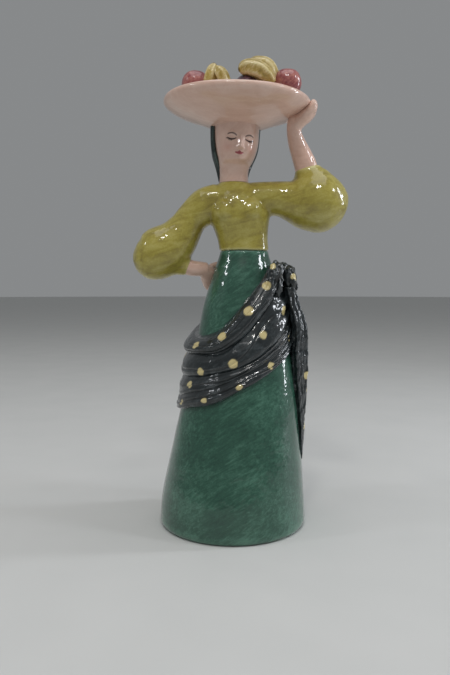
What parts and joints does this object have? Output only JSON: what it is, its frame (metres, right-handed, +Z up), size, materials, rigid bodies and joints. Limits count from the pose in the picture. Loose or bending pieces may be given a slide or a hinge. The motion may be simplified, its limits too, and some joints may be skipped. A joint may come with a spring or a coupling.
{
  "type": "ceramic lady figurine with fruit dish",
  "caption": "Glazed earthenware figurine of a standing woman in a long skirt and knotted dotted shawl, one hand on her hip, the other steadying a shallow dish of fruit on her head.",
  "frame": {"origin": "middle of the whole figurine's footprint, on the surface it stands on", "axes": "+Z up; she faces -Y; +X towards her own left, the raised arm"},
  "size_m": [0.142, 0.0976, 0.2989],
  "materials": {
    "green_glaze": "glossy brush-mottled teal-green glaze",
    "chartreuse_glaze": "glossy mottled yellow-green glaze",
    "flesh_glaze": "glossy pale pink glaze",
    "hair_glaze": "glossy green-black glaze",
    "charcoal_glaze": "glossy charcoal glaze with painted cream dots",
    "red_glaze": "glossy rose-red glaze",
    "peach_glaze": "glossy orange-pink glaze",
    "banana_glaze": "glossy yellow-ochre glaze",
    "plum_glaze": "glossy dark purple glaze"
  },
  "bodies": {
    "root": {"skirt": "green_glaze", "bodice": "chartreuse_glaze", "raised_sleeve": "chartreuse_glaze", "hip_sleeve": "chartreuse_glaze", "dish": "flesh_glaze", "head_and_neck": "flesh_glaze", "hair": "hair_glaze", "raised_forearm": "flesh_glaze", "raised_hand": "flesh_glaze", "hip_forearm": "flesh_glaze", "hip_hand": "flesh_glaze", "apple_front_left": "red_glaze", "apple_front_right": "red_glaze", "apple_back": "red_glaze", "peach_right": "peach_glaze", "peach_back_left": "peach_glaze", "plum_front": "plum_glaze", "plum_left": "plum_glaze", "plum_back_right": "plum_glaze", "banana_left_upright": "banana_glaze", "banana_left_leaning": "banana_glaze", "banana_right_lower": "banana_glaze", "banana_right_upper": "banana_glaze", "banana_side_outer": "banana_glaze", "banana_side_inner": "banana_glaze", "shawl_fold_top": "charcoal_glaze", "shawl_fold_upper": "charcoal_glaze", "shawl_fold_lower": "charcoal_glaze", "shawl_fold_hem": "charcoal_glaze", "shawl_knot": "charcoal_glaze", "shawl_end_front": "charcoal_glaze", "shawl_end_back": "charcoal_glaze"}
  },
  "joints": []
}
